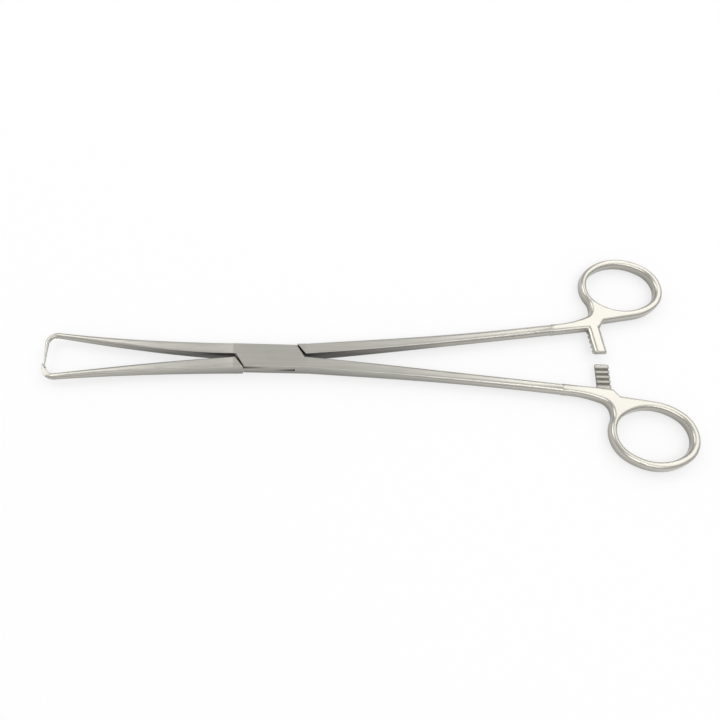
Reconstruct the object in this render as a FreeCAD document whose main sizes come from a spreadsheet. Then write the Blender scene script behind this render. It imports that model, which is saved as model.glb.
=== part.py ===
# Box-lock tenaculum forceps with one tooth on each jaw, two finger rings and a ratchet.
# Two one-piece forgings turn on a flush pivot pin. Everything is in millimetres.
# The pin's axis is the origin, +X runs to the rings, +Z is up, and the tool rests on z = 0.
# Both halves are drawn closed, in a frame on the middle plane of the lock, with their jaw
# on the +Y side and their handle on the -Y side. Their placements then swing them open a
# little, and the tongue half is turned over, which puts its handle on the other side.
import FreeCAD, Part
import math
import os

import Sketcher

# The lock: a box half with a slot, and a tongue half that fills the slot.
LOCK_THICKNESS = 6.2
LOCK_HALF_WIDTH = 4.6
CHEEK_THICKNESS = 1.9
SLANT_NEAR_X = 10.1
SLANT_RUN = 3.0
ROOT_LEDGE = 0.9
ROOT_OFFSET = 0.4
SLOT_PLAY = 0.06
SIDE_PLAY = 0.15
SHOULDER_GAP = 0.3
WALL_SETBACK = 0.9
LOCK_ROUNDING = 0.5
PIN_RADIUS = 1.6
PIN_PLAY = 0.05
OPENING_ANGLE = 2.8

# The jaw, from the pivot to its elbow, and the tooth at its end.
JAW_LENGTH = 78.3
BOX_JAW_SPREAD = 7.3
TONGUE_JAW_SPREAD = 5.5
JAW_BEND = 0.74
BOX_JAW_END_WIDTH = 1.8
TONGUE_JAW_END_WIDTH = 2.2
JAW_END_THICKNESS = 2.3
ROOT_CORNER = 0.15
BOX_ELBOW_RADIUS = 3.7
TONGUE_ELBOW_RADIUS = 4.1
TOOTH_LAP = 0.1
BOX_TOOTH_LEAN = -0.2
TONGUE_TOOTH_LEAN = 0.5
BOX_TOOTH_REACH = 5.8
TONGUE_TOOTH_REACH = 0.0
TOOTH_POINT = 0.3

# The handle: a slender shank that ends in a flat plate with the finger ring.
HANDLE_LENGTH = 148.35
HANDLE_SPREAD = 29.3
HANDLE_THICKNESS = 4.6
SHANK_BEND = 0.27
SHANK_END_WIDTH = 3.9
RING_HALF_LENGTH = 18.15
RING_HALF_WIDTH = 14.15
RING_ROUNDNESS = 0.86
RING_TILT = 1.7
RING_NEAR_WALL = 2.65
RING_SIDE_WALL = 3.15
RING_FAR_WALL = 3.25
PLATE_LENGTH = 16.2
PLATE_DROP = 4.75
NECK_SETBACK = 2.1
NECK_RISE = 1.6
NECK_BEND_RADIUS = 45.0
NECK_ROUNDING = 4.5
FOOT_MARGIN = 0.25
FOOT_DROP = 4.7
WEB_RUN = 2.2
WEB_DROP = 1.8
TUCK_DEPTH = 1.0
TUCK_MARGIN = 0.06

# The ratchet arm: half as thick as the handle, it laps the other half's arm.
ARM_SETBACK = 1.3
ARM_WIDTH = 5.8
ARM_LEAN = 0.9
ARM_REACH = 1.2
ARM_LAP = 0.1
ARM_ROUNDING = 1.8
ARM_TIP_ROUNDING = 0.7
TOOTH_COUNT = 4
GROOVE_PITCH = 2.13
GROOVE_LAND = 0.41
GROOVE_DEPTH = 0.85
GROOVE_FIRST = 1.9
LEAD_LENGTH = 1.2
LEAD_DEPTH = 0.6

# A cutting outline runs past the face that it opens by this much.
OVERCUT = 1.0
GROOVE_OVERCUT = 0.3
# The smallest volume that a real cut takes away, in cubic millimetres.
LEAST_CUT = 1e-4
# How close an edge lies to the place that it is looked for.
EDGE_SLACK = 0.02

# A station's letter, its share of the run from the lock to the end, and how much of the
# change from the root's width, thickness and corner it has made. The shank swells first.
JAW_STATIONS = (
    ("a", 0, 0, 0, 0),
    ("b", 0.22, 0.04, 0.37, 0.4),
    ("c", 0.55, 0.42, 0.62, 1),
    ("d", 1, 1, 1, 1),
)
SHANK_STATIONS = (
    ("a", 0, 0, 0, 0),
    ("b", 0.18, -0.2, 0.4, 0.3),
    ("c", 0.45, 0.45, 1, 0.7),
    ("d", 0.75, 0.95, 1.15, 1),
)

# A section of the hook round the elbow: its letter, the turn from the jaw in degrees, and
# its shares of the jaw's end width and of the way from full height to the tooth's height.
ELBOW_STATIONS = (
    ("e", 0, 1, 0),
    ("f", 30, 0.95, 0.3),
    ("g", 60, 0.85, 0.65),
    ("h", 90, 0.72, 0.95),
)

V = FreeCAD.Vector
os.makedirs("parts", exist_ok=True)
doc = FreeCAD.newDocument("tenaculum")
sheet = doc.addObject("Spreadsheet::Sheet", "dims")
row_count = 0


def add_cell(alias, text):
    global row_count
    row_count += 1
    sheet.set("A" + str(row_count), alias)
    sheet.set("B" + str(row_count), text)
    sheet.setAlias("B" + str(row_count), alias)


def size(alias, value):
    # A driving dimension.
    add_cell(alias, str(value))


def derive(alias, formula):
    # A dimension that follows from others.
    add_cell(alias, "=" + formula)


def blend(start, stop, share):
    return start + " + " + str(share) + " * (" + stop + " - " + start + ")"


def derive_stations(stem, stations, rise, end):
    # The sections of a jaw or shank. It leaves the lock's root at a slope and bends away
    # from the mid-line, so its rise has a straight part and a part that grows as a square.
    for letter, share, width, thickness, corner in stations:
        key = stem + "_" + letter
        part = str(share)
        curve = part + " * (1 - " + end + "_bend) + " + part + "^2 * " + end + "_bend"
        derive(key + "_x", "lock_half_length + " + part + " * " + end + "_run")
        derive(key + "_y", "root_middle + " + rise + " * (" + curve + ")")
        derive(key + "_w", blend("root_width", stem + "_end_width", width))
        derive(key + "_t", blend("lock_thickness", end + "_end_thickness", thickness))
        derive(key + "_r", blend("root_corner", stem + "_corner", corner))


# The lock.
size("lock_thickness", LOCK_THICKNESS)
size("lock_half_width", LOCK_HALF_WIDTH)
size("cheek_thickness", CHEEK_THICKNESS)
size("slant_near_x", SLANT_NEAR_X)
size("slant_run", SLANT_RUN)
size("root_ledge", ROOT_LEDGE)
size("root_offset", ROOT_OFFSET)
size("slot_play", SLOT_PLAY)
size("side_play", SIDE_PLAY)
size("shoulder_gap", SHOULDER_GAP)
size("wall_setback", WALL_SETBACK)
size("lock_rounding", LOCK_ROUNDING)
size("pin_radius", PIN_RADIUS)
size("pin_play", PIN_PLAY)
size("opening_angle", OPENING_ANGLE)
size("overcut", OVERCUT)
derive("half_thickness", "lock_thickness / 2")
derive("slot_height", "lock_thickness - 2 * cheek_thickness")
derive("tongue_height", "slot_height - 2 * slot_play")
derive("slant_far_x", "slant_near_x + slant_run")
derive("lock_half_length", "slant_far_x + root_ledge")
derive("root_middle", "(root_offset + lock_half_width) / 2")
derive("root_width", "lock_half_width - root_offset")
derive("wall_near_x", "slant_near_x - wall_setback")
derive("shoulder_near_x", "slant_near_x + shoulder_gap")
derive("shoulder_far_x", "slant_far_x + shoulder_gap")
derive("slot_wall_near_x", "wall_near_x + side_play")
derive("slot_wall_far_x", "slant_far_x + side_play")
derive("slot_reach_y", "lock_half_width + overcut")
derive("slot_reach_x", "lock_half_length + overcut")
derive("tongue_bore", "pin_radius + pin_play")

# The jaws. They differ in spread, end width and elbow radius, and their teeth in lean and
# reach.
size("jaw_length", JAW_LENGTH)
size("box_jaw_spread", BOX_JAW_SPREAD)
size("tongue_jaw_spread", TONGUE_JAW_SPREAD)
size("jaw_bend", JAW_BEND)
size("box_jaw_end_width", BOX_JAW_END_WIDTH)
size("tongue_jaw_end_width", TONGUE_JAW_END_WIDTH)
size("jaw_end_thickness", JAW_END_THICKNESS)
size("root_corner", ROOT_CORNER)
size("box_jaw_elbow_radius", BOX_ELBOW_RADIUS)
size("tongue_jaw_elbow_radius", TONGUE_ELBOW_RADIUS)
size("tooth_lap", TOOTH_LAP)
size("box_jaw_tooth_lean", BOX_TOOTH_LEAN)
size("tongue_jaw_tooth_lean", TONGUE_TOOTH_LEAN)
size("box_tooth_reach", BOX_TOOTH_REACH)
size("tongue_tooth_reach", TONGUE_TOOTH_REACH)
size("tooth_point", TOOTH_POINT)
derive("jaw_run", "jaw_length - lock_half_length")
derive("tooth_root_height", "jaw_end_thickness / 2 - tooth_lap")
derive("tooth_tip_z", "tooth_lap + 0.3 * tooth_root_height")
derive("tip_corner", "0.3 * tooth_point")
for jaw in ("box_jaw", "tongue_jaw"):
    derive(jaw + "_rise", jaw + "_spread - root_middle")
    derive(jaw + "_corner", "0.43 * " + jaw + "_end_width")
    derive_stations(jaw, JAW_STATIONS, jaw + "_rise", "jaw")
    radius = jaw + "_elbow_radius"
    derive(jaw + "_elbow_y", jaw + "_spread - " + radius)
    derive(jaw + "_tip_out", radius + " + " + jaw + "_tooth_lean")
    derive(jaw + "_lap_y", jaw + "_elbow_y + 0.95 * " + radius)
    derive(jaw + "_lap_near_x", "jaw_length + 0.3 * " + radius)
    derive(jaw + "_lap_far_x", "jaw_length + 2 * " + radius)
    for letter, turn, width, height in ELBOW_STATIONS:
        key = jaw + "_" + letter
        derive(key + "_w", str(width) + " * " + jaw + "_end_width")
        derive(key + "_t", blend("jaw_end_thickness", "tooth_root_height", height))
        derive(key + "_z", "(jaw_end_thickness - " + key + "_t) / 2")
        derive(key + "_r", "0.43 * min(" + key + "_w; " + key + "_t)")

# The finger ring is a four-centred oval, and so is the hole in it.
size("handle_length", HANDLE_LENGTH)
size("handle_spread", HANDLE_SPREAD)
size("handle_thickness", HANDLE_THICKNESS)
size("ring_half_length", RING_HALF_LENGTH)
size("ring_half_width", RING_HALF_WIDTH)
size("ring_roundness", RING_ROUNDNESS)
size("ring_tilt", RING_TILT)
size("ring_near_wall", RING_NEAR_WALL)
size("ring_side_wall", RING_SIDE_WALL)
size("ring_far_wall", RING_FAR_WALL)
derive("tilt_cos", "cos(ring_tilt * 1 deg)")
derive("tilt_sin", "sin(ring_tilt * 1 deg)")
derive("rim_middle_x", "handle_length")
derive("rim_half_length", "ring_half_length")
derive("rim_half_width", "ring_half_width")
derive("rim_end_radius", "ring_roundness * ring_half_width")
derive("hole_middle_x", "handle_length + (ring_near_wall - ring_far_wall) / 2")
derive("hole_half_length", "ring_half_length - (ring_near_wall + ring_far_wall) / 2")
derive("hole_half_width", "ring_half_width - ring_side_wall")
derive("hole_end_radius", "rim_end_radius - ring_side_wall")
derive("hole_slack", "ring_near_wall / 4")
for oval in ("rim", "hole"):
    width = oval + "_half_width"
    end = oval + "_end_radius"
    run = oval + "_run"
    fall = oval + "_fall"
    derive(run, oval + "_half_length - " + end)
    derive(fall, run + "^2 + " + width + "^2 - " + end + "^2")
    derive(oval + "_side_radius", fall + " / (2 * (" + width + " - " + end + "))")
    derive(oval + "_side_run", oval + "_side_radius - " + width)
    derive(oval + "_right_x", oval + "_middle_x + " + run + " * tilt_cos")
    derive(oval + "_right_y", "handle_spread + " + run + " * tilt_sin")
    derive(oval + "_left_x", oval + "_middle_x - " + run + " * tilt_cos")
    derive(oval + "_left_y", "handle_spread - " + run + " * tilt_sin")
    derive(oval + "_low_x", oval + "_middle_x + " + oval + "_side_run * tilt_sin")
    derive(oval + "_low_y", "handle_spread - " + oval + "_side_run * tilt_cos")
    derive(oval + "_high_x", oval + "_middle_x - " + oval + "_side_run * tilt_sin")
    derive(oval + "_high_y", "handle_spread + " + oval + "_side_run * tilt_cos")

# The plate starts before the ring's end and hangs below the ring's inner side. The neck,
# the arm and the web's corners are placed from those two. The web's lower edge runs from
# its corner to the point where it touches the ring's inner side as a tangent.
size("plate_length", PLATE_LENGTH)
size("plate_drop", PLATE_DROP)
size("neck_setback", NECK_SETBACK)
size("neck_rise", NECK_RISE)
size("neck_bend_radius", NECK_BEND_RADIUS)
size("neck_rounding", NECK_ROUNDING)
size("arm_setback", ARM_SETBACK)
size("arm_width", ARM_WIDTH)
size("arm_lean", ARM_LEAN)
size("foot_margin", FOOT_MARGIN)
size("foot_drop", FOOT_DROP)
size("web_run", WEB_RUN)
size("web_drop", WEB_DROP)
size("shank_end_width", SHANK_END_WIDTH)
derive("ring_near_end_x", "handle_length - ring_half_length")
derive("ring_inner_side_y", "handle_spread - ring_half_width")
derive("shank_end_x", "ring_near_end_x - plate_length")
derive("plate_start_y", "ring_inner_side_y - plate_drop")
derive("shank_inner_end_y", "plate_start_y - shank_end_width / 2")
derive("shank_outer_end_y", "plate_start_y + shank_end_width / 2")
derive("neck_x", "ring_near_end_x + neck_setback")
derive("neck_y", "ring_inner_side_y + neck_rise")
derive("arm_middle_x", "ring_near_end_x + arm_setback")
derive("arm_near_x", "arm_middle_x - arm_width / 2")
derive("arm_far_x", "arm_middle_x + arm_width / 2")
derive("arm_tip_near_x", "arm_near_x + arm_lean")
derive("arm_tip_far_x", "arm_far_x + arm_lean")
derive("web_foot_x", "arm_far_x + foot_margin")
derive("web_foot_y", "ring_inner_side_y - foot_drop")
derive("web_corner_x", "web_foot_x + web_run")
derive("web_corner_y", "ring_inner_side_y - web_drop")
derive("web_to_ring_x", "rim_high_x - web_corner_x")
derive("web_to_ring_y", "rim_high_y - web_corner_y")
derive("web_to_ring", "sqrt(web_to_ring_x^2 + web_to_ring_y^2)")
derive("web_sine", "rim_side_radius / web_to_ring")
derive("web_cosine", "sqrt(1 - web_sine^2)")
derive("web_low_x", "web_corner_x + web_cosine * (web_to_ring_x * web_cosine + web_to_ring_y * web_sine)")
derive("web_low_y", "web_corner_y + web_cosine * (web_to_ring_y * web_cosine - web_to_ring_x * web_sine)")
derive("web_inside_x", "handle_length - 0.5 * ring_half_length")
derive("web_inside_y", "handle_spread - 0.2 * ring_half_width")
derive("web_side_x", "handle_length - 0.87 * ring_half_length")
derive("web_side_y", "handle_spread - 0.38 * ring_half_width")

# The shank's last section is a little smaller than the plate and is tucked into it.
size("shank_bend", SHANK_BEND)
size("tuck_depth", TUCK_DEPTH)
size("tuck_margin", TUCK_MARGIN)
derive("shank_run", "shank_end_x - lock_half_length")
derive("shank_end_thickness", "handle_thickness")
derive("half_handle", "handle_thickness / 2")
derive("shank_corner", "0.4 * shank_end_width")
derive("rim_corner", "min(0.49 * ring_near_wall; shank_corner)")
derive("hole_corner", "0.49 * ring_near_wall")
derive("shank_rise", "plate_start_y - root_middle")
derive_stations("shank", SHANK_STATIONS, "shank_rise", "shank")
derive("shank_e_x", "shank_end_x + tuck_depth")
derive("shank_e_y", "plate_start_y + tuck_depth * shank_rise * (1 + shank_bend) / shank_run")
derive("shank_e_w", "shank_end_width - 2 * tuck_margin")
derive("shank_e_t", "handle_thickness - 2 * tuck_margin")
derive("shank_e_r", "shank_corner")

# The ratchet arm and its grooves.
size("arm_reach", ARM_REACH)
size("arm_lap", ARM_LAP)
size("arm_rounding", ARM_ROUNDING)
size("arm_tip_rounding", ARM_TIP_ROUNDING)
size("groove_pitch", GROOVE_PITCH)
size("groove_land", GROOVE_LAND)
size("groove_depth", GROOVE_DEPTH)
size("groove_first", GROOVE_FIRST)
size("groove_overcut", GROOVE_OVERCUT)
size("lead_length", LEAD_LENGTH)
size("lead_depth", LEAD_DEPTH)
derive("arm_root_y", "web_corner_y")
derive("arm_tip_y", "-arm_reach")
derive("groove_mouth", "arm_lap - groove_overcut")
derive("groove_floor", "arm_lap + groove_depth")
derive("lead_start_y", "arm_tip_y - groove_overcut")
derive("lead_end_y", "arm_tip_y + lead_length")
derive("lead_floor", "arm_lap + lead_depth")
derive("groove_sweep", "2 * arm_width")
for number in range(TOOTH_COUNT):
    shift = " + " + str(number) + " * groove_pitch"
    derive("groove_start_" + str(number), "arm_tip_y + groove_first" + shift)
    derive("groove_end_" + str(number), "groove_start_" + str(number) + " + groove_pitch - groove_land")
doc.recompute()


def dim(alias):
    return float(getattr(sheet, alias))


def signed(term):
    # A term is an alias, or an alias with a minus sign in front.
    if term == "0":
        return 0.0
    if term.startswith("-"):
        return -dim(term[1:])
    return dim(term)


def cell(term):
    if term == "0":
        return "0"
    if term.startswith("-"):
        return "-dims." + term[1:]
    return "dims." + term


def origin_plane(body, role):
    for feature in body.Origin.OriginFeatures:
        if feature.Role == role:
            return feature
    raise ValueError("no plane " + role)


def new_sketch(body, name, role, offset="0", over=False):
    # A sketch on one of the body's own planes. With over set it is turned half round on
    # its X axis for the plan plane, or half round on its normal for a cross plane.
    sketch = body.newObject("Sketcher::SketchObject", name)
    sketch.AttachmentSupport = [(origin_plane(body, role), "")]
    sketch.MapMode = "FlatFace"
    turn = FreeCAD.Rotation()
    if over and role == "XY_Plane":
        turn = FreeCAD.Rotation(V(1, 0, 0), 180)
    if over and role == "YZ_Plane":
        turn = FreeCAD.Rotation(V(0, 0, 1), 180)
    sketch.AttachmentOffset = FreeCAD.Placement(V(0, 0, signed(offset)), turn)
    if offset != "0":
        sketch.setExpression("AttachmentOffset.Base.z", cell(offset))
    return sketch


def fix_point(sketch, index, which, x_term, y_term):
    for kind, term in (("DistanceX", x_term), ("DistanceY", y_term)):
        if term == "0":
            continue
        number = sketch.addConstraint(
            Sketcher.Constraint(kind, -1, 1, index, which, signed(term)))
        sketch.setExpression("Constraints[" + str(number) + "]", cell(term))


def polygon(sketch, corners):
    # A closed outline whose corners are pairs of terms.
    first = sketch.GeometryCount
    count = len(corners)
    points = [V(signed(x), signed(y), 0) for x, y in corners]
    for number in range(count):
        sketch.addGeometry(Part.LineSegment(points[number], points[(number + 1) % count]))
    for number in range(count):
        after = first + (number + 1) % count
        sketch.addConstraint(Sketcher.Constraint("Coincident", first + number, 2, after, 1))
    for number in range(count):
        fix_point(sketch, first + number, 1, corners[number][0], corners[number][1])


def section(sketch, middle_x, middle_y, width, height, corner):
    # A rounded rectangle. The two middles, the sizes and the corner radius are terms.
    cx = signed(middle_x)
    cy = signed(middle_y)
    half_w = signed(width) / 2
    half_h = signed(height) / 2
    rad = signed(corner)
    right, left, top, low = cx + half_w, cx - half_w, cy + half_h, cy - half_h
    up = V(0, 0, 1)
    quarter = math.pi / 2
    lines = [
        (V(left + rad, low, 0), V(right - rad, low, 0)),
        (V(right, low + rad, 0), V(right, top - rad, 0)),
        (V(right - rad, top, 0), V(left + rad, top, 0)),
        (V(left, top - rad, 0), V(left, low + rad, 0)),
    ]
    centres = [
        V(right - rad, low + rad, 0),
        V(right - rad, top - rad, 0),
        V(left + rad, top - rad, 0),
        V(left + rad, low + rad, 0),
    ]
    for side in range(4):
        sketch.addGeometry(Part.LineSegment(lines[side][0], lines[side][1]))
        begin = (side - 1) * quarter
        circle = Part.Circle(centres[side], up, rad)
        sketch.addGeometry(Part.ArcOfCircle(circle, begin, begin + quarter))
    for side in range(4):
        line = 2 * side
        arc = line + 1
        following = (line + 2) % 8
        sketch.addConstraint(Sketcher.Constraint("Tangent", line, 2, arc, 1))
        sketch.addConstraint(Sketcher.Constraint("Tangent", arc, 2, following, 1))
    sketch.addConstraint(Sketcher.Constraint("Horizontal", 0))
    sketch.addConstraint(Sketcher.Constraint("Vertical", 2))
    sketch.addConstraint(Sketcher.Constraint("Horizontal", 4))
    for arc in (3, 5, 7):
        sketch.addConstraint(Sketcher.Constraint("Equal", 1, arc))
    bound = [
        (sketch.addConstraint(Sketcher.Constraint("Radius", 1, rad)), cell(corner)),
        (sketch.addConstraint(Sketcher.Constraint("DistanceX", -1, 1, 1, 3, right - rad)),
         cell(middle_x) + " + " + cell(width) + " / 2 - " + cell(corner)),
        (sketch.addConstraint(Sketcher.Constraint("DistanceY", -1, 1, 3, 3, top - rad)),
         cell(middle_y) + " + " + cell(height) + " / 2 - " + cell(corner)),
        (sketch.addConstraint(Sketcher.Constraint("DistanceX", -1, 1, 5, 3, left + rad)),
         cell(middle_x) + " - " + cell(width) + " / 2 + " + cell(corner)),
        (sketch.addConstraint(Sketcher.Constraint("DistanceY", -1, 1, 7, 3, low + rad)),
         cell(middle_y) + " - " + cell(height) + " / 2 + " + cell(corner)),
    ]
    for number, text in bound:
        sketch.setExpression("Constraints[" + str(number) + "]", text)


def pad(body, name, sketch, length, middle=False):
    feature = body.newObject("PartDesign::Pad", name)
    feature.Profile = sketch
    feature.Length = signed(length)
    feature.setExpression("Length", cell(length))
    feature.Midplane = middle
    doc.recompute()
    return must_build(feature)


def pocket(body, name, sketch, length, middle=False, flip=False):
    # The cut must take something away, so a cut in the wrong direction is an error.
    before = body.Shape.Volume
    feature = body.newObject("PartDesign::Pocket", name)
    feature.Profile = sketch
    feature.Length = signed(length)
    feature.setExpression("Length", cell(length))
    feature.Midplane = middle
    feature.Reversed = flip
    doc.recompute()
    if not body.Shape.Volume < before - LEAST_CUT:
        raise ValueError(name + " removes nothing")
    return feature


def loft(body, name, sketches):
    feature = body.newObject("PartDesign::AdditiveLoft", name)
    feature.Profile = sketches[0]
    feature.Sections = sketches[1:]
    feature.Ruled = False
    feature.Closed = False
    doc.recompute()
    return must_build(feature)


def must_build(feature):
    bad = "Invalid" in feature.State or "Error" in feature.State
    if bad or feature.Shape.isNull() or not feature.Shape.isValid():
        raise ValueError(feature.Name + " did not build")
    return feature


def round_edges(body, name, radius, test):
    # Rounds every edge of the body's present shape that passes the test.
    base = body.Tip
    names = []
    for number, edge in enumerate(base.Shape.Edges):
        if test(edge):
            names.append("Edge" + str(number + 1))
    if not names:
        raise ValueError(name + " finds no edge")
    feature = body.newObject("PartDesign::Fillet", name)
    feature.Base = (base, names)
    feature.setExpression("Radius", cell(radius))
    doc.recompute()
    return must_build(feature)


def near(first, second):
    return abs(first - second) < EDGE_SLACK


def ring_and_web(body):
    # The plate of the finger ring, its web and the end of the shank.
    web = new_sketch(body, "WebOutline", "XY_Plane", "0", True)
    corners = [
        ("shank_end_x", "shank_inner_end_y"),
        ("web_foot_x", "web_foot_y"),
        ("web_corner_x", "web_corner_y"),
        ("web_low_x", "web_low_y"),
        ("web_inside_x", "web_inside_y"),
        ("web_side_x", "web_side_y"),
        ("neck_x", "neck_y"),
        ("shank_end_x", "shank_outer_end_y"),
    ]
    points = [V(signed(x), signed(y), 0) for x, y in corners]
    start = points[6]
    stop = points[7]
    chord = start.sub(stop)
    bend = dim("neck_bend_radius")
    away = math.sqrt(bend * bend - chord.Length * chord.Length / 4)
    normal = V(-chord.y, chord.x, 0)
    normal.normalize()
    middle = (start + stop) * 0.5 + normal * away
    angle_a = math.atan2(stop.y - middle.y, stop.x - middle.x)
    angle_b = math.atan2(start.y - middle.y, start.x - middle.x)
    for number in range(6):
        web.addGeometry(Part.LineSegment(points[number], points[number + 1]))
    arc_circle = Part.Circle(middle, V(0, 0, 1), bend)
    web.addGeometry(Part.ArcOfCircle(arc_circle, angle_a, angle_b))
    web.addGeometry(Part.LineSegment(points[7], points[0]))
    for number in range(5):
        web.addConstraint(Sketcher.Constraint("Coincident", number, 2, number + 1, 1))
    web.addConstraint(Sketcher.Constraint("Coincident", 5, 2, 6, 2))
    web.addConstraint(Sketcher.Constraint("Coincident", 6, 1, 7, 1))
    web.addConstraint(Sketcher.Constraint("Coincident", 7, 2, 0, 1))
    for number in range(6):
        fix_point(web, number, 1, corners[number][0], corners[number][1])
    fix_point(web, 6, 2, corners[6][0], corners[6][1])
    fix_point(web, 6, 1, corners[7][0], corners[7][1])
    number = web.addConstraint(Sketcher.Constraint("Radius", 6, bend))
    web.setExpression("Constraints[" + str(number) + "]", cell("neck_bend_radius"))
    pad(body, "Web", web, "handle_thickness", True)

    ring = new_sketch(body, "RingOutline", "XY_Plane", "0", True)
    oval_in(ring, "rim")
    pad(body, "Ring", ring, "handle_thickness", True)

    round_edges(body, "NeckRounding", "neck_rounding", is_neck_corner)
    round_edges(body, "RimRounding", "rim_corner", is_handle_rim)
    hole = new_sketch(body, "HoleOutline", "XY_Plane", "0", True)
    oval_in(hole, "hole")
    pocket(body, "Hole", hole, "lock_thickness", True)
    round_edges(body, "HoleRounding", "hole_corner", is_hole_rim)


def oval_in(sketch, oval):
    # A four-centred oval, its long axis turned by the tilt.
    end_radius = oval + "_end_radius"
    side_radius = oval + "_side_radius"
    tilt = math.radians(dim("ring_tilt"))
    spread = math.atan2(dim(oval + "_side_run"), dim(oval + "_run"))
    up = V(0, 0, 1)
    arcs = (
        ("right", end_radius, tilt - spread, tilt + spread),
        ("low", side_radius, tilt + spread, tilt + math.pi - spread),
        ("left", end_radius, tilt + math.pi - spread, tilt + math.pi + spread),
        ("high", side_radius, tilt + math.pi + spread, tilt + 2 * math.pi - spread),
    )
    for side, radius, begin, end in arcs:
        centre = V(dim(oval + "_" + side + "_x"), dim(oval + "_" + side + "_y"), 0)
        sketch.addGeometry(Part.ArcOfCircle(Part.Circle(centre, up, dim(radius)), begin, end))
    for number in range(4):
        after = (number + 1) % 4
        sketch.addConstraint(Sketcher.Constraint("Tangent", number, 2, after, 1))
    for number in range(4):
        side, radius = arcs[number][0], arcs[number][1]
        if side in ("left", "right"):
            fix_point(sketch, number, 3, oval + "_" + side + "_x", oval + "_" + side + "_y")
        bound = sketch.addConstraint(Sketcher.Constraint("Radius", number, dim(radius)))
        sketch.setExpression("Constraints[" + str(bound) + "]", cell(radius))


def is_neck_corner(edge):
    # The upright edges at both ends of the short straight between the shank and the ring.
    box = edge.BoundBox
    upright = near(box.ZLength, dim("handle_thickness")) and near(box.XLength, 0)
    left = min(dim("neck_x"), dim("web_side_x")) - EDGE_SLACK
    right = max(dim("neck_x"), dim("web_side_x")) + EDGE_SLACK
    outside = -dim("web_side_y") < box.YMin < -dim("neck_y") + EDGE_SLACK
    return upright and left < box.XMin < right and outside


def is_hole_rim(edge):
    # The rim of the finger hole on both faces.
    box = edge.BoundBox
    flat = near(box.ZLength, 0) and near(abs(box.ZMin), dim("half_handle"))
    across = max(abs(box.XMin - dim("hole_middle_x")), abs(box.XMax - dim("hole_middle_x")))
    reach = max(abs(box.YMin + dim("handle_spread")), abs(box.YMax + dim("handle_spread")))
    inside = across < dim("hole_half_length") + dim("hole_slack")
    return flat and inside and reach < dim("hole_half_width") + dim("hole_slack")


def is_handle_rim(edge):
    # The plan edges of the plate on both faces, but not the cut where the shank joins.
    box = edge.BoundBox
    flat = near(box.ZLength, 0) and near(abs(box.ZMin), dim("half_handle"))
    joint = near(box.XLength, 0) and near(box.XMin, dim("shank_end_x"))
    return flat and not joint


def swept_stations(body, stem, letters, over):
    sketches = []
    for letter in letters:
        key = stem + "_" + letter
        place = "-" + key + "_x"
        if over:
            place = key + "_x"
        sketch = new_sketch(body, stem + "_section_" + letter, "YZ_Plane", place, over)
        section(sketch, key + "_y", "0", key + "_w", key + "_t", key + "_r")
        sketches.append(sketch)
    return sketches


def turned_sketch(body, name, out_term, turn):
    # An upright sketch at the jaw's end, turned about an upright line that lies as far out
    # from the mid-line as the term says. Its own X axis then points away from that line.
    sketch = new_sketch(body, name, "YZ_Plane", "-jaw_length")
    sketch.AttachmentOffset = FreeCAD.Placement(
        V(signed(out_term), 0, -dim("jaw_length")), FreeCAD.Rotation(V(0, 1, 0), turn))
    sketch.setExpression("AttachmentOffset.Base.x", cell(out_term))
    return sketch


def hook_section(body, jaw, station):
    letter, turn = station[0], station[1]
    key = jaw + "_" + letter
    sketch = turned_sketch(body, key + "_section", jaw + "_elbow_y", turn)
    section(sketch, jaw + "_elbow_radius", key + "_z", key + "_w", key + "_t", key + "_r")
    return sketch


def jaw_with_tooth(body, jaw, reach):
    loft(body, "Jaw", swept_stations(body, jaw, "abcd", False))

    # The hook turns a quarter round at the elbow, tapers, and runs out into a pointed tooth.
    loft(body, "Elbow", [hook_section(body, jaw, station) for station in ELBOW_STATIONS])
    root = hook_section(body, jaw, ELBOW_STATIONS[-1])
    tip = turned_sketch(body, jaw + "_tip", "-" + reach, ELBOW_STATIONS[-1][1])
    section(tip, jaw + "_tip_out", "tooth_tip_z", "tooth_point", "tooth_point", "tip_corner")
    loft(body, "Tooth", [root, tip])

    # The tooth's half of the elbow is ground flat so that the two teeth pass each other.
    lap = new_sketch(body, "LapOutline", "XY_Plane", "tooth_lap")
    polygon(lap, [
        ("-" + jaw + "_lap_far_x", "-" + jaw + "_lap_y"),
        ("-" + jaw + "_lap_near_x", "-" + jaw + "_lap_y"),
        ("-" + jaw + "_lap_near_x", jaw + "_lap_y"),
        ("-" + jaw + "_lap_far_x", jaw + "_lap_y"),
    ])
    pocket(body, "Lap", lap, "lock_thickness")


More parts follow.
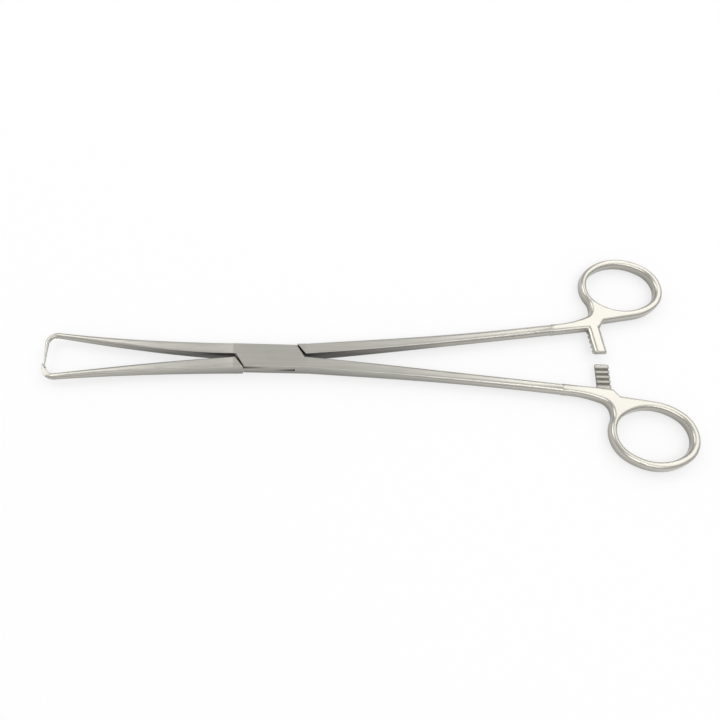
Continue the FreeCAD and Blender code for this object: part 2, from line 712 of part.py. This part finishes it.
def domed_section(body, name, near_term, far_term, place):
    # The arm's section: flat where it laps the other arm, with two rounded outer corners.
    sketch = new_sketch(body, name, "XZ_Plane", place)
    near_x = signed(near_term)
    far_x = signed(far_term)
    inner = -dim("arm_lap")
    outer = -dim("half_handle")
    rad = dim("arm_rounding")
    up = V(0, 0, 1)
    quarter = math.pi / 2
    far_round = Part.Circle(V(far_x - rad, outer + rad, 0), up, rad)
    near_round = Part.Circle(V(near_x + rad, outer + rad, 0), up, rad)
    sketch.addGeometry(Part.LineSegment(V(near_x, inner, 0), V(far_x, inner, 0)))
    sketch.addGeometry(Part.LineSegment(V(far_x, inner, 0), V(far_x, outer + rad, 0)))
    sketch.addGeometry(Part.ArcOfCircle(far_round, -quarter, 0))
    sketch.addGeometry(Part.LineSegment(V(far_x - rad, outer, 0), V(near_x + rad, outer, 0)))
    sketch.addGeometry(Part.ArcOfCircle(near_round, 2 * quarter, 3 * quarter))
    sketch.addGeometry(Part.LineSegment(V(near_x, outer + rad, 0), V(near_x, inner, 0)))
    sketch.addConstraint(Sketcher.Constraint("Coincident", 0, 2, 1, 1))
    sketch.addConstraint(Sketcher.Constraint("Tangent", 1, 2, 2, 2))
    sketch.addConstraint(Sketcher.Constraint("Tangent", 2, 1, 3, 1))
    sketch.addConstraint(Sketcher.Constraint("Tangent", 3, 2, 4, 2))
    sketch.addConstraint(Sketcher.Constraint("Tangent", 4, 1, 5, 1))
    sketch.addConstraint(Sketcher.Constraint("Coincident", 5, 2, 0, 1))
    sketch.addConstraint(Sketcher.Constraint("Vertical", 1))
    sketch.addConstraint(Sketcher.Constraint("Horizontal", 3))
    sketch.addConstraint(Sketcher.Constraint("Vertical", 5))
    sketch.addConstraint(Sketcher.Constraint("Equal", 2, 4))
    fix_point(sketch, 0, 1, near_term, "-arm_lap")
    fix_point(sketch, 0, 2, far_term, "-arm_lap")
    number = sketch.addConstraint(Sketcher.Constraint("Radius", 2, rad))
    sketch.setExpression("Constraints[" + str(number) + "]", "dims.arm_rounding")
    number = sketch.addConstraint(Sketcher.Constraint("DistanceY", -1, 1, 3, 1, outer))
    sketch.setExpression("Constraints[" + str(number) + "]", "-dims.half_handle")
    return sketch


def ratchet_arm(body):
    root = domed_section(body, "ArmRoot", "arm_near_x", "arm_far_x", "arm_root_y")
    tip = domed_section(body, "ArmTip", "arm_tip_near_x", "arm_tip_far_x", "arm_tip_y")
    loft(body, "Arm", [root, tip])
    round_edges(body, "ArmTipRounding", "arm_tip_rounding", is_arm_tip)
    teeth = new_sketch(body, "RatchetTeeth", "YZ_Plane", "arm_middle_x", True)
    for number in range(TOOTH_COUNT):
        start = "groove_start_" + str(number)
        stop = "groove_end_" + str(number)
        polygon(teeth, [
            (start, "groove_mouth"),
            (stop, "groove_mouth"),
            (start, "groove_floor"),
        ])
    polygon(teeth, [
        ("lead_start_y", "groove_mouth"),
        ("lead_end_y", "groove_mouth"),
        ("lead_start_y", "lead_floor"),
    ])
    pocket(body, "Grooves", teeth, "groove_sweep", True)


def is_arm_tip(edge):
    # The outer edge of the arm's end, with its two rounded corners.
    box = edge.BoundBox
    at_end = near(box.YLength, 0) and near(box.YMin, dim("arm_reach"))
    return at_end and near(box.ZMin, -dim("half_handle"))


def is_slant_edge(edge):
    # The edges where the cheeks' slanted ends meet the two faces of the lock.
    box = edge.BoundBox
    flat = near(box.ZLength, 0) and near(abs(box.ZMin), dim("half_thickness"))
    rise = dim("lock_half_width") + dim("root_offset")
    return flat and near(box.XLength, dim("slant_run")) and near(box.YLength, rise)


def pin_hole(body, name, radius):
    sketch = new_sketch(body, name + "Outline", "XY_Plane")
    sketch.addGeometry(Part.Circle(V(0, 0, 0), V(0, 0, 1), signed(radius)))
    sketch.addConstraint(Sketcher.Constraint("Coincident", 0, 3, -1, 1))
    number = sketch.addConstraint(Sketcher.Constraint("Radius", 0, signed(radius)))
    sketch.setExpression("Constraints[" + str(number) + "]", cell(radius))
    pocket(body, name, sketch, "lock_thickness", True)


def start_body(label):
    body = doc.addObject("PartDesign::Body", label)
    body.Label = label
    ring_and_web(body)
    loft(body, "Shank", swept_stations(body, "shank", "abcde", True))
    return body


# The box half: a full block with the slot cut through it.
box_half = start_body("box_half")
block = new_sketch(box_half, "BlockOutline", "XY_Plane")
polygon(block, [
    ("-lock_half_length", "root_offset"),
    ("-slant_far_x", "root_offset"),
    ("-slant_near_x", "-lock_half_width"),
    ("lock_half_length", "-lock_half_width"),
    ("lock_half_length", "-root_offset"),
    ("slant_far_x", "-root_offset"),
    ("slant_near_x", "lock_half_width"),
    ("-lock_half_length", "lock_half_width"),
])
pad(box_half, "Block", block, "lock_thickness", True)
round_edges(box_half, "SlantRounding", "lock_rounding", is_slant_edge)
slot = new_sketch(box_half, "SlotOutline", "XY_Plane")
polygon(slot, [
    ("-slot_wall_near_x", "lock_half_width"),
    ("-slot_wall_near_x", "slot_reach_y"),
    ("slot_reach_x", "slot_reach_y"),
    ("slot_reach_x", "root_offset"),
    ("slot_wall_far_x", "root_offset"),
    ("slot_wall_near_x", "-lock_half_width"),
    ("slot_wall_near_x", "-slot_reach_y"),
    ("-slot_reach_x", "-slot_reach_y"),
    ("-slot_reach_x", "-root_offset"),
    ("-slot_wall_far_x", "-root_offset"),
])
pocket(box_half, "Slot", slot, "slot_height", True)
jaw_with_tooth(box_half, "box_jaw", "box_tooth_reach")
ratchet_arm(box_half)
pin_hole(box_half, "PinSeat", "pin_radius")

# The tongue half: the thin tongue fills the slot, with full shoulders at both ends.
tongue_half = start_body("tongue_half")
tongue = new_sketch(tongue_half, "TongueOutline", "XY_Plane")
polygon(tongue, [
    ("-lock_half_length", "root_offset"),
    ("-slant_far_x", "root_offset"),
    ("-wall_near_x", "-lock_half_width"),
    ("lock_half_length", "-lock_half_width"),
    ("lock_half_length", "-root_offset"),
    ("slant_far_x", "-root_offset"),
    ("wall_near_x", "lock_half_width"),
    ("-lock_half_length", "lock_half_width"),
])
pad(tongue_half, "Tongue", tongue, "tongue_height", True)
for side, sign_x, sign_y in (("Jaw", "-", ""), ("Shank", "", "-")):
    shoulder = new_sketch(tongue_half, side + "ShoulderOutline", "XY_Plane")
    polygon(shoulder, [
        (sign_x + "lock_half_length", sign_y + "root_offset"),
        (sign_x + "shoulder_far_x", sign_y + "root_offset"),
        (sign_x + "shoulder_near_x", sign_y + "lock_half_width"),
        (sign_x + "lock_half_length", sign_y + "lock_half_width"),
    ])
    pad(tongue_half, side + "Shoulder", shoulder, "lock_thickness", True)
jaw_with_tooth(tongue_half, "tongue_jaw", "tongue_tooth_reach")
ratchet_arm(tongue_half)
pin_hole(tongue_half, "PinBore", "tongue_bore")

# The pivot pin, ground flush with both outer faces of the box.
pivot_pin = doc.addObject("PartDesign::Body", "pivot_pin")
pivot_pin.Label = "pivot_pin"
pin_outline = new_sketch(pivot_pin, "PinOutline", "XY_Plane")
pin_outline.addGeometry(Part.Circle(V(0, 0, 0), V(0, 0, 1), dim("pin_radius")))
pin_outline.addConstraint(Sketcher.Constraint("Coincident", 0, 3, -1, 1))
pin_size = pin_outline.addConstraint(Sketcher.Constraint("Radius", 0, dim("pin_radius")))
pin_outline.setExpression("Constraints[" + str(pin_size) + "]", cell("pin_radius"))
pad(pivot_pin, "Pin", pin_outline, "lock_thickness", True)

# The box half and its pin stand level. Swinging each half by the same angle opens the
# tool, and the half turn about a level line puts the tongue half's handle opposite.
box_half.Placement = FreeCAD.Placement(
    V(0, 0, dim("half_thickness")), FreeCAD.Rotation(V(0, 0, 1), -dim("opening_angle") / 2))
box_half.setExpression("Placement.Base.z", "dims.half_thickness")
pivot_pin.Placement = FreeCAD.Placement(V(0, 0, dim("half_thickness")), FreeCAD.Rotation())
pivot_pin.setExpression("Placement.Base.z", "dims.half_thickness")
half_swing = math.radians(dim("opening_angle")) / 4
turn_axis = V(math.cos(half_swing), math.sin(half_swing), 0)
tongue_half.Placement = FreeCAD.Placement(
    V(0, 0, dim("half_thickness")), FreeCAD.Rotation(turn_axis, 180))
tongue_half.setExpression("Placement.Base.z", "dims.half_thickness")
doc.recompute()

for item in doc.Objects:
    if "Invalid" in item.State or "Error" in item.State:
        raise ValueError(item.Name + " did not build")
for body in (box_half, tongue_half, pivot_pin):
    if body.Shape.isNull() or not body.Shape.isValid():
        raise ValueError(body.Label + " has no sound shape")
    if len(body.Shape.Solids) != 1:
        raise ValueError(body.Label + " is not one solid")
    body.Shape.exportStep("parts/" + body.Label + ".step")
    print(body.Label, round(body.Shape.Volume, 1), body.Shape.BoundBox)
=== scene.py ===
# Looks of a pair of box-lock tenaculum forceps in satin steel, lying on a pale floor.
# Everything is in metres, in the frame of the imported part: the pivot is the origin, +X
# runs to the finger rings, +Z is up, and the tool rests on z = 0.
import math

import bpy
from mathutils import Matrix, Vector

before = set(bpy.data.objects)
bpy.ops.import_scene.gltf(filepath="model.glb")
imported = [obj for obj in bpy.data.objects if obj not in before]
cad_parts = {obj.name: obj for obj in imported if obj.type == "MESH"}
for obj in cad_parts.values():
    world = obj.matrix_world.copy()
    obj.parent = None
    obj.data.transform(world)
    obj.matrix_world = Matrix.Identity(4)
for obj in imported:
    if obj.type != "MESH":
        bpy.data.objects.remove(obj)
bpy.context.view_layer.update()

MM = 0.001

# The photograph was taken from above the near handle, a little towards the jaws.
CAMERA_PLACE = Vector((-3.08 * MM, -124.73 * MM, 262.46 * MM))
CAMERA_AZIMUTH = math.radians(-16.783)
CAMERA_ELEVATION = math.radians(63.424)
CAMERA_ROLL = math.radians(15.22)
CAMERA_LENS = 37.5
CAMERA_SENSOR = 36.0
CAMERA_SEES_FROM = 0.01
CAMERA_SEES_TO = 20.0

# Colours of the steel, a slightly warm grey, and of what stands around it.
# The pale steel is also painted on the polished parts as a painted highlight.
STEEL_PALE = (0.585, 0.565, 0.51, 1)
STEEL_DEEP = (0.445, 0.439, 0.40, 1)
# The crevices' dark colour is painted shade.
CREVICE_SHADE = (0.09, 0.086, 0.079, 1)
# The ratchet grooves' dark colour is painted shade.
GROOVE_SHADE = (0.40, 0.38, 0.35, 1)
EDGE_SHINE = (0.74, 0.725, 0.67, 1)
FLOOR_COLOUR = (0.985, 0.985, 0.985, 1)
SKY_TOP = (0.66, 0.66, 0.66, 1)
SKY_RIM = (0.55, 0.55, 0.55, 1)

# The floor's half width, and how much of what is seen of it is plain white.
FLOOR_REACH = 3.0
FLOOR_GLOW = 0.70

# The lamps: name, place, width, height and radiance. All of them face the pivot.
SOFTBOXES = (
    ("softbox_rings", (0.66, 0.48, 0.88), 0.95, 0.7, 1.1),
    ("softbox_jaws", (-0.66, 0.50, 0.92), 0.75, 0.7, 1.75),
    ("softbox_edge", (0.72, 0.96, 0.62), 0.45, 0.25, 1.6),
    ("softbox_front", (0.22, -0.60, 0.95), 0.9, 0.4, 2.0),
)

# The satin of the lock fades into polish along the shanks, and in part along the jaws; the
# polish is smoother and is also painted paler, a painted highlight.
SATIN_END_X = 0.045
POLISH_START_X = 0.125
JAW_SATIN_END_X = -0.005
JAW_POLISH_START_X = -0.080
SATIN_LEFT_AT_TEETH = 0.42

# Noise in the steel: its scale along the tool, across it and upwards, and its detail.
STREAKS = ((25, 1600, 1600), 3)
HAIRS = ((60, 6000, 6000), 4)
CLOUDS = ((60, 90, 90), 3)
SPECKS = ((1500, 1500, 1500), 4)
NOISE_ROUGHNESS = 0.6

# The share of deep steel in the colour: the streaks' noise, stretched from the first range
# to the second, and what the clouds add at most.
STREAK_NOISE = (0.35, 0.65)
STREAK_SHARE = (0.55, 1.0)
CLOUD_SHARE = 0.15

# How rough the steel is, and what the clouds and the ratchet's grooves add to that.
SATIN_ROUGHNESS = 0.31
POLISH_ROUGHNESS = 0.16
CLOUD_ROUGHNESS = 0.12
GROOVE_ROUGHNESS = 0.50

# How far the hairs and specks stand out, and how the specks compare with the hairs.
BUMP_HEIGHT = 0.01 * MM
BUMP_STRENGTH = 0.25
SPECK_HEIGHT = 0.15

# Painted shade: how near another surface must be for the steel to be painted darker, in
# crevices, between parts and near the floor, and the shares of open sky at which it is fully
# dark and at which it starts to be.
CREVICE_REACH = 12.0 * MM
CREVICE_SKY = (0.25, 0.90)
CREVICE_SAMPLES = 8

# The near ratchet arm's grooves lie within these limits, below its lapping face. Their
# painted shade starts at the face and is full just below it.
GROOVE_LOW_X = 0.1240
GROOVE_HIGH_X = 0.1375
GROOVE_LOW_Y = -0.0155
GROOVE_HIGH_Y = -0.0030
GROOVE_FACE = 3.05 * MM
GROOVE_DARK = 2.94 * MM

# Edges turn softly over this width, more on the rings, which a wheel has polished round.
SOFT_EDGE = 0.28 * MM
RING_EDGE = 1.00 * MM
SOFT_SAMPLES = 6

# An edge starts to shine, and shines fully, where the softened surface agrees this much
# with the true one.
SHINE_AGREEMENT = (0.995, 0.90)

# The pivot pin is ground flush, so the edge that it fills shows no shine.
PIN_SEAM = 2.2 * MM

# Points of the CAD's mesh that lie nearer to each other than this are joined into one.
WELD_REACH = 0.001 * MM

# The mesh's edges that turn by more than this are then rounded off, over this width.
EDGE_ANGLE = math.radians(35)
EDGE_WIDTH = 0.12 * MM
EDGE_SEGMENTS = 2


def add_node(tree, kind, **values):
    node = tree.nodes.new(kind)
    for name, value in values.items():
        setattr(node, name, value)
    return node


def feed(tree, entry, source):
    # A source is either the output of another node or a plain value.
    if isinstance(source, bpy.types.NodeSocket):
        tree.links.new(source, entry)
    else:
        entry.default_value = source


def calculate(tree, operation, *sources):
    node = add_node(tree, "ShaderNodeMath", operation=operation)
    for entry, source in zip(node.inputs, sources):
        feed(tree, entry, source)
    return node.outputs["Value"]


def calculate_vector(tree, operation, result, *sources):
    node = add_node(tree, "ShaderNodeVectorMath", operation=operation)
    for entry, source in zip(node.inputs, sources):
        feed(tree, entry, source)
    return node.outputs[result]


def remap(tree, source, start, end, low=0.0, high=1.0, kind="LINEAR"):
    # Goes from low to high while the source goes from start to end.
    node = add_node(tree, "ShaderNodeMapRange", interpolation_type=kind)
    feed(tree, node.inputs["Value"], source)
    feed(tree, node.inputs["From Min"], start)
    feed(tree, node.inputs["From Max"], end)
    feed(tree, node.inputs["To Min"], low)
    feed(tree, node.inputs["To Max"], high)
    return node.outputs["Result"]


def mix_colours(tree, share, first, second):
    node = add_node(tree, "ShaderNodeMix", data_type="RGBA")
    feed(tree, node.inputs["Factor"], share)
    feed(tree, node.inputs["A"], first)
    feed(tree, node.inputs["B"], second)
    return node.outputs["Result"]


def add_noise(tree, place, scale, detail):
    # Most of it is drawn out along the tool, as a belt or a wheel leaves it.
    mapping = add_node(tree, "ShaderNodeMapping")
    feed(tree, mapping.inputs["Vector"], place)
    feed(tree, mapping.inputs["Scale"], scale)
    noise = add_node(tree, "ShaderNodeTexNoise")
    feed(tree, noise.inputs["Vector"], mapping.outputs["Vector"])
    feed(tree, noise.inputs["Scale"], 1.0)
    feed(tree, noise.inputs["Detail"], detail)
    feed(tree, noise.inputs["Roughness"], NOISE_ROUGHNESS)
    return noise.outputs["Fac"]


def groove_share(tree, axes):
    # 1 in the near arm's grooves, 0 elsewhere.
    share = remap(tree, axes["Z"], GROOVE_FACE, GROOVE_DARK)
    limits = (
        ("X", "GREATER_THAN", GROOVE_LOW_X),
        ("X", "LESS_THAN", GROOVE_HIGH_X),
        ("Y", "GREATER_THAN", GROOVE_LOW_Y),
        ("Y", "LESS_THAN", GROOVE_HIGH_Y),
    )
    for axis, operation, limit in limits:
        inside = calculate(tree, operation, axes[axis], limit)
        share = calculate(tree, "MULTIPLY", share, inside)
    return share


def streaked_steel(tree, satin, streaks, clouds):
    # Long pale and deep streaks on the satin, soft clouds all over. Where the satin fades,
    # the colour is painted paler, a painted highlight on the polished parts.
    streaky = remap(tree, streaks, *STREAK_NOISE, *STREAK_SHARE)
    shade = calculate(tree, "MULTIPLY", streaky, satin)
    deep = calculate(tree, "MULTIPLY_ADD", clouds, CLOUD_SHARE, shade)
    return mix_colours(tree, deep, STEEL_PALE, STEEL_DEEP)


def paint_crevice_shade(tree, colour):
    # Painted shade: the steel is painted darker where other surfaces are near, in the slot,
    # the ratchet's grooves and other crevices, and near the floor.
    sky = add_node(tree, "ShaderNodeAmbientOcclusion", samples=CREVICE_SAMPLES)
    feed(tree, sky.inputs["Distance"], CREVICE_REACH)
    clear = remap(tree, sky.outputs["AO"], *CREVICE_SKY)
    return mix_colours(tree, clear, CREVICE_SHADE, colour)


def soften_edges(tree, to_rings):
    # The direction of a surface whose edges are rounder than the shape's own.
    radius = remap(tree, to_rings, 0.0, 1.0, RING_EDGE, SOFT_EDGE)
    soft = add_node(tree, "ShaderNodeBevel", samples=SOFT_SAMPLES)
    feed(tree, soft.inputs["Radius"], radius)
    return soft.outputs["Normal"]


def brighten_edges(tree, colour, place, soft, clouds):
    # Edges are worn to a brighter line, unevenly, but not round the flush pin.
    shape = add_node(tree, "ShaderNodeNewGeometry")
    agreement = calculate_vector(tree, "DOT_PRODUCT", "Value", soft, shape.outputs["Normal"])
    edge = remap(tree, agreement, *SHINE_AGREEMENT)
    level = calculate_vector(tree, "MULTIPLY", "Vector", place, (1, 1, 0))
    from_pin = calculate_vector(tree, "LENGTH", "Value", level)
    beyond_pin = calculate(tree, "GREATER_THAN", from_pin, PIN_SEAM)
    shown = calculate(tree, "MULTIPLY", edge, beyond_pin)
    worn = calculate(tree, "MULTIPLY", shown, clouds)
    return mix_colours(tree, worn, colour, EDGE_SHINE)


def uneven_roughness(tree, satin, clouds, grooved):
    # Higher on the satin and in the grooves, and uneven with the clouds.
    smooth = remap(tree, satin, 0.0, 1.0, POLISH_ROUGHNESS, SATIN_ROUGHNESS)
    uneven = calculate(tree, "MULTIPLY_ADD", clouds, CLOUD_ROUGHNESS, smooth)
    return calculate(tree, "MULTIPLY_ADD", grooved, GROOVE_ROUGHNESS, uneven)


def fine_relief(tree, satin, soft, hairs, specks):
    # Hair-fine lines along the satin, and a faint orange peel on the polish.
    lines = calculate(tree, "MULTIPLY", hairs, satin)
    height = calculate(tree, "MULTIPLY_ADD", specks, SPECK_HEIGHT, lines)
    bump = add_node(tree, "ShaderNodeBump")
    feed(tree, bump.inputs["Strength"], BUMP_STRENGTH)
    feed(tree, bump.inputs["Distance"], BUMP_HEIGHT)
    feed(tree, bump.inputs["Height"], height)
    feed(tree, bump.inputs["Normal"], soft)
    return bump.outputs["Normal"]


def make_steel(name):
    material = bpy.data.materials.new(name)
    material.use_nodes = True
    tree = material.node_tree
    tree.nodes.clear()
    place = add_node(tree, "ShaderNodeTexCoord").outputs["Object"]
    separate = add_node(tree, "ShaderNodeSeparateXYZ")
    feed(tree, separate.inputs["Vector"], place)
    axes = separate.outputs

    # How far the surface is satin: 1 at the lock, less at the teeth and 0 on the rings. Less
    # satin gives smoother steel and a paler painted highlight in its colour.
    to_rings = remap(
        tree, axes["X"], SATIN_END_X, POLISH_START_X, 1.0, 0.0, "SMOOTHSTEP"
    )
    to_teeth = remap(
        tree, axes["X"], JAW_SATIN_END_X, JAW_POLISH_START_X, 1.0, SATIN_LEFT_AT_TEETH,
        "SMOOTHSTEP"
    )
    satin = calculate(tree, "MULTIPLY", to_rings, to_teeth)

    streaks = add_noise(tree, place, *STREAKS)
    hairs = add_noise(tree, place, *HAIRS)
    clouds = add_noise(tree, place, *CLOUDS)
    specks = add_noise(tree, place, *SPECKS)
    soft = soften_edges(tree, to_rings)
    grooved = groove_share(tree, axes)

    colour = streaked_steel(tree, satin, streaks, clouds)
    colour = paint_crevice_shade(tree, colour)
    colour = brighten_edges(tree, colour, place, soft, clouds)
    # Painted shade: the near arm's grooves are painted darker here.
    colour = mix_colours(tree, grooved, colour, GROOVE_SHADE)

    shader = add_node(tree, "ShaderNodeBsdfPrincipled")
    feed(tree, shader.inputs["Metallic"], 1.0)
    feed(tree, shader.inputs["Base Color"], colour)
    feed(tree, shader.inputs["Roughness"], uneven_roughness(tree, satin, clouds, grooved))
    feed(tree, shader.inputs["Normal"], fine_relief(tree, satin, soft, hairs, specks))
    output = add_node(tree, "ShaderNodeOutputMaterial")
    feed(tree, output.inputs["Surface"], shader.outputs["BSDF"])
    return material


def dress_pieces():
    steel = make_steel("satin_steel_grain")
    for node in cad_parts.values():
        node.data.materials.clear()
        node.data.materials.append(steel)
        weld = node.modifiers.new("weld", "WELD")
        weld.merge_threshold = WELD_REACH
        bevel = node.modifiers.new("edge_rounding", "BEVEL")
        bevel.width = EDGE_WIDTH
        bevel.segments = EDGE_SEGMENTS
        bevel.limit_method = "ANGLE"
        bevel.angle_limit = EDGE_ANGLE


def make_floor():
    mesh = bpy.data.meshes.new("floor")
    signs = ((-1, -1), (1, -1), (1, 1), (-1, 1))
    corners = [(x * FLOOR_REACH, y * FLOOR_REACH, 0) for x, y in signs]
    mesh.from_pydata(corners, [], [(0, 1, 2, 3)])
    floor = bpy.data.objects.new("floor", mesh)
    bpy.context.scene.collection.objects.link(floor)
    material = bpy.data.materials.new("pale_floor")
    material.use_nodes = True
    tree = material.node_tree
    shader = tree.nodes["Principled BSDF"]
    feed(tree, shader.inputs["Base Color"], FLOOR_COLOUR)
    feed(tree, shader.inputs["Roughness"], 1.0)
    feed(tree, shader.inputs["Specular IOR Level"], 0.0)

    # What is seen of the floor is partly plain white, so its shadow is as faint as in the
    # photograph. The light that the floor gives back to the tool stays as it is.
    rays = add_node(tree, "ShaderNodeLightPath").outputs
    seen = calculate(tree, "ADD", rays["Is Camera Ray"], rays["Is Glossy Ray"])
    seen = calculate(tree, "ADD", seen, rays["Is Transmission Ray"])
    white = add_node(tree, "ShaderNodeEmission")
    both = add_node(tree, "ShaderNodeMixShader")
    feed(tree, both.inputs[0], calculate(tree, "MULTIPLY", seen, FLOOR_GLOW))
    feed(tree, both.inputs[1], shader.outputs["BSDF"])
    feed(tree, both.inputs[2], white.outputs["Emission"])
    feed(tree, tree.nodes["Material Output"].inputs["Surface"], both.outputs["Shader"])
    mesh.materials.append(material)


def make_world():
    # The sky is a little darker at its rim.
    world = bpy.data.worlds.new("studio")
    bpy.context.scene.world = world
    world.use_nodes = True
    tree = world.node_tree
    tree.nodes.clear()
    direction = add_node(tree, "ShaderNodeTexCoord").outputs["Generated"]
    axes = add_node(tree, "ShaderNodeSeparateXYZ")
    feed(tree, axes.inputs["Vector"], direction)
    background = add_node(tree, "ShaderNodeBackground")
    sky = mix_colours(tree, axes.outputs["Z"], SKY_RIM, SKY_TOP)
    feed(tree, background.inputs["Color"], sky)
    output = add_node(tree, "ShaderNodeOutputWorld")
    feed(tree, output.inputs["Surface"], background.outputs["Background"])


def add_softbox(name, place, width, height, radiance):
    # Its power follows from the radiance that it shows.
    lamp = bpy.data.lights.new(name, "AREA")
    lamp.shape = "RECTANGLE"
    lamp.size = width
    lamp.size_y = height
    lamp.energy = radiance * math.pi * width * height
    softbox = bpy.data.objects.new(name, lamp)
    softbox.location = place
    softbox.rotation_mode = "QUATERNION"
    softbox.rotation_quaternion = (-Vector(place)).to_track_quat("-Z", "Y")
    bpy.context.scene.collection.objects.link(softbox)


def make_camera():
    azimuth, elevation, roll = CAMERA_AZIMUTH, CAMERA_ELEVATION, CAMERA_ROLL
    back = Vector((
        math.sin(azimuth) * math.cos(elevation),
        -math.cos(azimuth) * math.cos(elevation),
        math.sin(elevation),
    ))
    level = Vector((math.cos(azimuth), math.sin(azimuth), 0))
    up = back.cross(level)
    right = math.cos(roll) * level + math.sin(roll) * up
    top = math.cos(roll) * up - math.sin(roll) * level
    camera = bpy.data.objects.new("camera", bpy.data.cameras.new("camera"))
    camera.data.lens = CAMERA_LENS
    camera.data.sensor_width = CAMERA_SENSOR
    camera.data.clip_start = CAMERA_SEES_FROM
    camera.data.clip_end = CAMERA_SEES_TO
    turn = Matrix((right, top, back)).transposed().to_4x4()
    camera.matrix_world = Matrix.Translation(CAMERA_PLACE) @ turn
    bpy.context.scene.collection.objects.link(camera)
    bpy.context.scene.camera = camera


dress_pieces()
make_floor()
make_world()
for softbox in SOFTBOXES:
    add_softbox(*softbox)
make_camera()
bpy.context.scene.view_settings.view_transform = "Standard"
